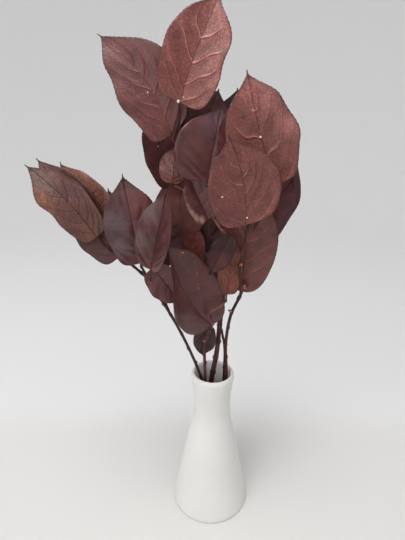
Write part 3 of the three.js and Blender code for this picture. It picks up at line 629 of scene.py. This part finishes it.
def blade_mesh(leaf, seed):
    """One thin closed blade: its vertices, faces, face sides and the marks of each vertex."""
    simple = leaf["simple"]
    rows = BACK_ROWS if simple else BLADE_ROWS
    columns = BACK_COLUMNS if simple else BLADE_COLUMNS
    # Rows lie closer together at the base and the tip, and two more columns round the midrib.
    t = np.linspace(0, 1, rows)
    u = (t - 0.06 * np.sin(2 * np.pi * t))[:, None]
    s = np.concatenate([[0, 0.018, 0.045], np.linspace(0, 1, columns + 1)[1:]])
    v = np.concatenate([-s[:0:-1], s])[None, :]
    grid, across, along, vein, rim = blade_points(leaf, u * np.ones_like(v), v * np.ones_like(u),
                                                  seed)
    toothed = (u[:, 0] > 0.06) & (u[:, 0] < 0.96)
    teeth = np.where(np.arange(rows) % 2, TOOTH_DEPTH, -TOOTH_DEPTH) * toothed
    for edge, inner in ((0, 1), (-1, -2)):
        out = grid[:, edge] - grid[:, inner]
        out /= np.maximum(np.linalg.norm(out, axis=1), 1e-9)[:, None]
        grid[:, edge] += out * teeth[:, None]
    row_step = np.gradient(grid, axis=0)
    row_step[0], row_step[-1] = row_step[1], row_step[-2]
    column_step = np.gradient(grid, axis=1)
    normal = np.cross(column_step, row_step)
    normal /= np.maximum(np.linalg.norm(normal, axis=2), 1e-9)[..., None]
    reach = np.clip(rim / 1.5, 0, 1)
    half_thick = (RIM_THICKNESS + (BLADE_THICKNESS - RIM_THICKNESS) * reach) / 2
    lower = leaf["lower"]
    # The midrib stands out below, thick at the base and thin at the tip, and is sunk above.
    ridge = (0.35 - 0.25 * along / leaf["length"]) * np.exp(-(across / RIDGE_HALF_WIDTH) ** 2)
    front = half_thick + (ridge if lower else -0.5 * ridge)
    back = half_thick + (-0.5 * ridge if lower else ridge)
    points = np.concatenate([(grid + normal * front[..., None]).reshape(-1, 3),
                             (grid - normal * back[..., None]).reshape(-1, 3)])
    wide = v.shape[1]
    index = np.arange(rows * wide).reshape(rows, wide)
    a, b = index[:-1, :-1].ravel(), index[:-1, 1:].ravel()
    c, d = index[1:, 1:].ravel(), index[1:, :-1].ravel()
    shift = rows * wide
    ring = np.concatenate([index[0, :], index[1:, -1], index[-1, -2::-1], index[-2:0:-1, 0]])
    following = np.roll(ring, -1)
    faces = np.concatenate([np.stack([a, b, c, d], 1), np.stack([a, d, c, b], 1) + shift,
                            np.stack([ring, ring + shift, following + shift, following], 1)])
    kinds = np.repeat([lower, 1 - lower, 1], [len(a), len(a), len(ring)])
    marks = np.stack([vein, rim, across], -1).reshape(-1, 3)
    flat = np.stack([across / MAP_UNIT + 0.5, along / MAP_UNIT], -1).reshape(-1, 2)
    return points, faces, kinds, np.tile(marks, (2, 1)), np.tile(flat, (2, 1))


def new_object(name, data):
    piece = bpy.data.objects.new(name, data)
    bpy.context.scene.collection.objects.link(piece)
    return piece


def plain_mesh(name, points, faces, materials):
    """A smooth mesh of points in mm."""
    mesh = bpy.data.meshes.new(name)
    mesh.from_pydata((points * MM).tolist(), [], faces)
    for material in materials:
        mesh.materials.append(material)
    mesh.polygons.foreach_set("use_smooth", np.ones(len(faces), bool))
    return mesh


def add_marks(mesh, **values):
    """Keeps three values a point with the mesh, under their names."""
    for title, value in values.items():
        attribute = mesh.attributes.new(title, "FLOAT_VECTOR", "POINT")
        attribute.data.foreach_set("vector", value.ravel())


def leaves_object(name, leaves, materials):
    """All the blades of one stem as one mesh, with their colours and marks as attributes."""
    parts = [[], [], [], [], [], [], []]
    count = 0
    for number, leaf in enumerate(leaves):
        seed = leaf_seed(name, number)
        points, faces, kinds, marks, flat = blade_mesh(leaf, seed)
        size = len(points)
        colour = [c * leaf["shade"] for c in linear(leaf["tone"])[:3]]
        tone = np.tile(colour + [leaf["gloss"] - GRAIN_GLOSS], (size, 1))
        # Spots of another colour: some are the leaf's own colour, others painted sheen, glints and
        # glow.
        for up, out, radius, hex_colour, strength in leaf["stains"]:
            gap = np.hypot(flat[:, 1] * MAP_UNIT - up, flat[:, 0] * MAP_UNIT - MAP_UNIT / 2 - out)
            share = strength * np.clip(1.5 - gap / radius, 0, 1)[:, None]
            tone[:, :3] += (np.array(linear(hex_colour)[:3]) - tone[:, :3]) * share
        finish = np.tile([leaf["net"], leaf["vein"], leaf["rib"]], (size, 1))
        flat = flat + np.random.default_rng(seed).uniform(0, 9, 2)
        for store, item in zip(parts, (points, faces + count, kinds, marks, flat, tone, finish)):
            store.append(item)
        count += size
    points, faces, kinds, marks, flat, tone, finish = (np.concatenate(p) for p in parts)
    mesh = plain_mesh(name, points, faces.tolist(), materials)
    mesh.polygons.foreach_set("material_index", kinds.astype(np.int32))
    add_marks(mesh, marks=marks, finish=finish)
    mesh.attributes.new("tone", "FLOAT_COLOR", "POINT").data.foreach_set("color", tone.ravel())
    corners = np.zeros(len(mesh.loops), np.int32)
    mesh.loops.foreach_get("vertex_index", corners)
    mesh.uv_layers.new(name="blade").data.foreach_set("uv", flat[corners].ravel())
    return new_object(name, mesh)


def node_group(name, result, **inputs):
    """A geometry node tree with named inputs and one result, what adds nodes to it, and its inputs."""
    tree = bpy.data.node_groups.new(name, "GeometryNodeTree")
    for title, kind in inputs.items():
        tree.interface.new_socket(title, in_out="INPUT", socket_type="NodeSocket" + kind)
    tree.interface.new_socket(result, in_out="OUTPUT", socket_type="NodeSocketGeometry")
    return tree, partial(add_node, tree), add_node(tree, "NodeGroupInput").outputs


def finish_group(add, result, shape, skin):
    """Ends a tree: smooth shading, real meshes instead of instances, and the material."""
    smooth = add("GeometryNodeSetShadeSmooth", {0: shape})
    real = add("GeometryNodeRealizeInstances", {0: smooth})
    skinned = add("GeometryNodeSetMaterial", {"Geometry": real, "Material": skin})
    add("NodeGroupOutput", {result: skinned})


def twig_tree():
    """Geometry nodes: sweeps bark round the twigs' lines."""
    tree, add, given = node_group("twigs", "Twigs", Lines="Geometry", Sides="Int", Depth="Float",
                                  Scale="Float", Skin="Material")
    radius = add("GeometryNodeInputRadius")
    circle = add("GeometryNodeCurvePrimitiveCircle", {"Resolution": given["Sides"], "Radius": 1.0})
    swept = add("GeometryNodeCurveToMesh",
                {"Curve": given["Lines"], "Profile Curve": circle, "Scale": radius,
                 "Fill Caps": True})
    rough = add("ShaderNodeTexNoise", {"Scale": given["Scale"], "Detail": 2.0})
    centred = add("ShaderNodeMath", {0: rough, 1: 0.5}, operation="SUBTRACT")
    depth = add("ShaderNodeMath", {0: centred, 1: given["Depth"]}, operation="MULTIPLY")
    normal = add("GeometryNodeInputNormal")
    offset = add("ShaderNodeVectorMath", {0: normal, "Scale": depth}, operation="SCALE")
    wrinkled = add("GeometryNodeSetPosition", {"Geometry": swept, "Offset": offset})
    finish_group(add, "Twigs", wrinkled, given["Skin"])
    return tree


def bud_tree():
    """Geometry nodes: sets a small pointed or round body on each point, along its aim."""
    tree, add, given = node_group("buds and drops", "Buds", Points="Geometry", Taper="Float",
                                  Lift="Float", Uneven="Float", Seed="Int", Skin="Material")
    ball = add("GeometryNodeMeshUVSphere", {"Segments": 10, "Rings": 8, "Radius": 1.0})
    place = add("GeometryNodeInputPosition")
    x, y, z = add("ShaderNodeSeparateXYZ", {0: place}).outputs
    narrow = add("ShaderNodeMath", {0: z, 1: given["Taper"]}, operation="MULTIPLY")
    narrow, least, most = (
        add("ShaderNodeMath", {0: 1.0, 1: change}, operation=how)
        for change, how in ((narrow, "SUBTRACT"), (given["Uneven"], "SUBTRACT"),
                            (given["Uneven"], "ADD")))
    wide, deep, high = (
        add("ShaderNodeMath", {0: part, 1: change}, operation=how)
        for part, change, how in ((x, narrow, "MULTIPLY"), (y, narrow, "MULTIPLY"),
                                  (z, given["Lift"], "ADD")))
    shaped = add("ShaderNodeCombineXYZ", {"X": wide, "Y": deep, "Z": high})
    body = add("GeometryNodeSetPosition", {"Geometry": ball.outputs["Mesh"], "Position": shaped})
    aim, size = (add("GeometryNodeInputNamedAttribute", {"Name": title},
                     data_type="FLOAT_VECTOR") for title in ("aim", "size"))
    turn = add("FunctionNodeAlignRotationToVector", {"Vector": aim.outputs["Attribute"]}, axis="Z")
    vary = add("FunctionNodeRandomValue", {2: least, 3: most, "Seed": given["Seed"]},
               data_type="FLOAT")
    size = add("ShaderNodeVectorMath",
               {0: size.outputs["Attribute"], "Scale": vary.outputs[1]}, operation="SCALE")
    points = add("GeometryNodeMeshToPoints", {"Mesh": given["Points"]})
    placed = add("GeometryNodeInstanceOnPoints",
                 {"Points": points, "Instance": body, "Rotation": turn, "Scale": size})
    finish_group(add, "Buds", placed, given["Skin"])
    return tree


def point_object(name, spots):
    """Points for buds or drops. Each spot is (place, aim, half width, half length) in mm."""
    places = np.array([s[0] for s in spots], float)
    mesh = plain_mesh(name, places, [], [])
    add_marks(mesh, aim=np.array([s[1] for s in spots], float),
              size=np.array([(s[2], s[2], s[3]) for s in spots]) * MM)
    return new_object(name, mesh)


def face_spots(leaves, name):
    """Where the dried drops and the gold flecks sit on the blades' faces."""
    drops = []
    flecks = []
    for number, leaf in enumerate(leaves):
        seed = leaf_seed(name, number)
        rng = np.random.default_rng(seed + 7)
        wanted = [(up, side, radius, drops) for up, side, radius in leaf["drops"]]
        for up, side, up_end, side_end in leaf["flecks"]:
            for t in rng.uniform(0, 1, 9):
                wanted.append((up + (up_end - up) * t + rng.uniform(-0.008, 0.008),
                               side + (side_end - side) * t + rng.uniform(-0.02, 0.02),
                               rng.uniform(0.2, 0.42), flecks))
        for up, side, radius, store in wanted:
            ups = np.array([[up, up], [up + 0.01, up + 0.01]])
            sides = np.array([[side, side + 0.02], [side, side + 0.02]])
            grid = blade_points(leaf, ups, sides, seed)[0]
            normal = np.cross(grid[0, 1] - grid[0, 0], grid[1, 0] - grid[0, 0])
            normal = normal / np.linalg.norm(normal)
            on_midrib = leaf["lower"] and abs(side) < 0.05
            lift = 0.7 if on_midrib else 0.3
            store.append((grid[0, 0] + normal * lift, normal, radius, 0.55 * radius))
    return drops, flecks


def line_object(name, lines):
    """Twigs and stalks as one curve object: each line is (points, radii) in millimetres."""
    curve = bpy.data.curves.new(name, "CURVE")
    curve.dimensions = "3D"
    for points, radii in lines:
        spline = curve.splines.new("POLY")
        spline.points.add(len(points) - 1)
        flat = np.concatenate([points * MM, np.ones((len(points), 1))], 1)
        spline.points.foreach_set("co", flat.ravel())
        spline.points.foreach_set("radius", radii * MM)
    return new_object(name, curve)


def grown(piece, tree, **values):
    """The plain mesh that the geometry nodes make of piece, in a new object."""
    modifier = piece.modifiers.new(tree.name, "NODES")
    modifier.node_group = tree
    for item in tree.interface.items_tree:
        if item.in_out == "INPUT" and item.name in values:
            modifier[item.identifier] = values[item.name]
    evaluated = piece.evaluated_get(bpy.context.evaluated_depsgraph_get())
    made = new_object(piece.name + "_grown", bpy.data.meshes.new_from_object(evaluated))
    bpy.data.objects.remove(piece)
    return made


def along_path(at, shares, points):
    return np.array([np.interp(at, shares, points[:, k]) for k in range(3)])


def stem_lines(twigs):
    """The centre lines and radii of a stem's twigs and leaf stalks, old and young, its leaves, and
    the small buds at its nodes."""
    lines = ([], [])
    leaves = []
    buds = []
    bud_half_width = BUD_WIDTH * NODE_BUD / 2
    for twig in twigs:
        points, shares = smooth_path(twig["route"], TWIG_STEP)
        span = np.linalg.norm(np.diff(points, axis=0), axis=1).sum()
        radii = (twig["thick"] + (twig["thin"] - twig["thick"]) * shares) / 2
        for leaf in twig["leaves"]:
            leaves.append(leaf)
            radii = radii * (1 + NODE_SWELLING * np.exp(-((shares - leaf["at"]) * span / 2) ** 2))
            root = along_path(leaf["at"], shares, points)
            base = np.array(leaf["base"], float)
            reach = np.linalg.norm(base - root)
            elbow = base - leaf_axes(leaf)[0] * min(0.35 * reach, 6)
            # The stalk runs on into the midrib's first points.
            rib = blade_points(leaf, np.sqrt(np.array([0.04, 0.08])), np.zeros(2))[0]
            bends = [root, elbow, base] if reach > 9 else [root, base]
            stalk, places = smooth_path(bends + [rib[0], rib[1]], 1.0)
            lines[0].append((stalk, STALK_RADIUS * (1.25 - 0.7 * places)))
            aim = (stalk[2] - stalk[0]) / np.linalg.norm(stalk[2] - stalk[0]) + (0, 0, 0.8)
            buds.append((root + (0, -0.5, 1.2), aim, bud_half_width, NODE_BUD / 2))
        # Bare nodes: the twig swells and kinks a little to each side in turn.
        for k, at in enumerate(np.arange(0.35 * NODE_GAP, span * 0.98, NODE_GAP)):
            swell = np.exp(-((shares * span - at) / 1.6) ** 2)
            radii = radii * (1 + NODE_SWELLING * 0.8 * swell)
            turn = 2.4 * k + twig["thick"]
            aside = np.array([math.cos(turn), math.sin(turn), 0])
            spot = along_path(at / span, shares, points)
            spot = spot + aside * np.interp(at / span, shares, radii)
            points = points + np.outer(swell, aside) * NODE_KINK
            buds.append((spot, aside + (0, 0, 0.9), bud_half_width, NODE_BUD / 2))
        lines[twig["young"]].append((points, radii))
    return lines, leaves, buds


def turned_object(name, profile, sides, material, top=None, inside_out=False):
    """A profile of (radius, height) turned about the upright axis, as one object.

    A point at height 0 closes its start, and one at height top closes its end."""
    angles = np.linspace(0, 2 * np.pi, sides, endpoint=False)
    radii = np.array([p[0] for p in profile], float)[:, None]
    heights = np.array([p[1] for p in profile], float)[:, None] + 0 * angles[None, :]
    points = np.stack([radii * np.cos(angles), radii * np.sin(angles), heights], -1)
    points = np.concatenate([points.reshape(-1, 3), [[0, 0, 0], [0, 0, top or 0]]])
    index = np.arange(len(profile) * sides).reshape(-1, sides)
    ahead = np.roll(index, -1, axis=1)
    faces = np.stack([index[:-1], ahead[:-1], ahead[1:], index[1:]], -1).reshape(-1, 4).tolist()
    start = len(points) - 2
    for k in range(sides):
        faces.append((start, int(ahead[0, k]), int(index[0, k])))
        if top is not None:
            faces.append((start + 1, int(index[-1, k]), int(ahead[-1, k])))
    if top is None:
        points = points[:-1]
    if inside_out:
        faces = [face[::-1] for face in faces]
    return new_object(name, plain_mesh(name, points, faces, [material]))


def vase_object():
    """The vase, turned from one closed profile, with smooth shoulders and a rounded lip."""
    def cone(z):
        slope = (VASE_BASE_RADIUS - VASE_NECK_RADIUS) / VASE_NECK_HEIGHT
        return VASE_BASE_RADIUS - slope * z

    lip_foot = VASE_HEIGHT - VASE_LIP_HEIGHT
    bore = VASE_NECK_RADIUS - VASE_WALL
    outside = [(cone(z), z) for z in (1.6, 40, 80, 102)]
    outside += [(VASE_NECK_RADIUS + wider, z)
                for wider, z in ((0.9, 116), (0.6, 128), (1.2, 142), (2.1, 150), (2.9, 156))]
    outside.append((VASE_MOUTH_RADIUS, lip_foot))
    inside = [(VASE_MOUTH_RADIUS - VASE_LIP_WIDTH, lip_foot), (bore + 1.4, 144), (bore + 0.4, 122)]
    inside += [(cone(z) - VASE_WALL, z) for z in (100, 60, 14)]
    half = VASE_LIP_WIDTH / 2
    rim = [(VASE_MOUTH_RADIUS - half + half * math.cos(t), lip_foot + VASE_LIP_HEIGHT * math.sin(t))
           for t in np.linspace(0, np.pi, 12)[1:-1]]
    profile = [(14, 0), (30, 0)]
    profile += [(VASE_BASE_RADIUS - less, z) for less, z in ((2, 0), (1.1, 0.25), (0.5, 0.8))]
    for corners, step, after in ((outside, 3, rim), (inside, 5, [])):
        curve = smooth_path([(r, 0, z) for r, z in corners], step)[0]
        profile += [(p[0], p[2]) for p in curve] + after
    profile += [(cone(11) - VASE_WALL - 1, 9.5), (cone(9) - VASE_WALL - 3, VASE_FLOOR + 0.6),
                (cone(9) - VASE_WALL - 6, VASE_FLOOR), (12, VASE_FLOOR)]
    return turned_object("vase_body", profile, VASE_SIDES, ceramic_material(), VASE_FLOOR)


def floor_object():
    """A round paper floor that curves up into a low wall, the same from every side."""
    flat, bend, top = 1500, 1400, 3600
    profile = [(flat * k / 8, 0) for k in range(1, 9)]
    profile += [(flat + bend * math.sin(t), bend * (1 - math.cos(t)))
                for t in np.linspace(0, np.pi / 2, 14)[1:]]
    profile.append((flat + bend, top))
    return turned_object("paper_floor", profile, 96, paper_material(), inside_out=True)


def join(pieces, name):
    bpy.ops.object.select_all(action="DESELECT")
    for piece in pieces:
        piece.select_set(True)
    bpy.context.view_layer.objects.active = pieces[0]
    bpy.ops.object.join()
    pieces[0].name = name
    return pieces[0]


def soft_light(name, place, aim, size, power, colour):
    lamp = bpy.data.lights.new(name, "AREA")
    lamp.shape = "DISK"
    lamp.size = size
    lamp.energy = power
    lamp.color = linear(colour)[:3]
    piece = new_object(name, lamp)
    piece.location = place
    piece.rotation_euler = (Vector(aim) - Vector(place)).to_track_quat("-Z", "Y").to_euler()


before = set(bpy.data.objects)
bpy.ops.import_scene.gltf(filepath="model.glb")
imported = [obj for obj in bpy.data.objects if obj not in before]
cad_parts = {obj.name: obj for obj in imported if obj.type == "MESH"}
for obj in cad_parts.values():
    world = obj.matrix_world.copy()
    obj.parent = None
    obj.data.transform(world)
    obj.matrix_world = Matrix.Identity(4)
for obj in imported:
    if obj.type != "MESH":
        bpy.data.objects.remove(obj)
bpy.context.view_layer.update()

blade_faces = [leaf_material("leaf upper face", lower=False),
               leaf_material("leaf lower face", lower=True)]
bark = bark_material("dyed twig bark", "#2b1415", "#562a28")
young_bark = bark_material("young twig bark", "#4e2a28", "#80473e")
bud = bud_material()
drop = plain_material("dried white drop", "#e6dfd6", 0.35)
gold = plain_material("gold fleck", "#b98b45", 0.4)
barked = twig_tree()
budded = bud_tree()

vase = vase_object()
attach(vase, "root")
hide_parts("vase")

for stem_name, twigs in STEMS.items():
    lines, leaves, nodes = stem_lines(twigs)
    blades_name = stem_name + "_blades"
    pieces = [leaves_object(blades_name, leaves, blade_faces)]
    for title, group, skin in (("_old", lines[0], bark), ("_young", lines[1], young_bark)):
        if group:
            pieces.append(grown(line_object(stem_name + title, group), barked, Sides=TWIG_SIDES,
                                Depth=BARK_DEPTH * MM, Scale=BARK_SCALE, Skin=skin))
    large = [(spot, aim, BUD_WIDTH * long / 2, long / 2) for spot, aim, long in BUDS[stem_name]]
    drops, flecks = face_spots(leaves, blades_name)
    for title, spots, skin, taper, lift in (("_nodes", nodes, bark, 0.45, 0.7),
                                            ("_buds", large, bud, 0.45, 0.7),
                                            ("_drops", drops, drop, 0.0, 0.0),
                                            ("_flecks", flecks, gold, 0.0, 0.0)):
        if spots:
            pieces.append(grown(point_object(stem_name + title, spots), budded, Taper=taper,
                                Lift=lift, Uneven=0.2, Seed=4, Skin=skin))
    stem = join(pieces, stem_name + "_fine")
    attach(stem, "root")
    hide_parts(stem_name)

floor = floor_object()

world = bpy.data.worlds.new("pale room")
world.use_nodes = True
feed(world.node_tree.nodes["Background"], {"Color": linear("#ecebea"), "Strength": 0.94})
bpy.context.scene.world = world
soft_light("ceiling light", (-0.15, -0.3, 1.5), (0, 0, 0.2), 0.6, 9.5, "#fffefc")
soft_light("window light", (-0.8, -1.1, 0.95), (0, 0, 0.25), 1.3, 9.5, "#fbfbfd")

camera_data = bpy.data.cameras.new("camera")
camera_data.sensor_width = SENSOR_WIDTH
camera_data.lens = FOCAL_PIXELS / PICTURE_HEIGHT * SENSOR_WIDTH
camera_data.clip_start = 0.01
camera = new_object("camera", camera_data)
camera.matrix_world = (Matrix.Translation(Vector(CAMERA_PLACE) * MM)
                       @ Matrix.Rotation((90 - CAMERA_DOWN) * DEGREE, 4, "X")
                       @ Matrix.Rotation(CAMERA_ROLL * DEGREE, 4, "Z"))
bpy.context.scene.camera = camera
bpy.context.scene.view_settings.view_transform = "Standard"
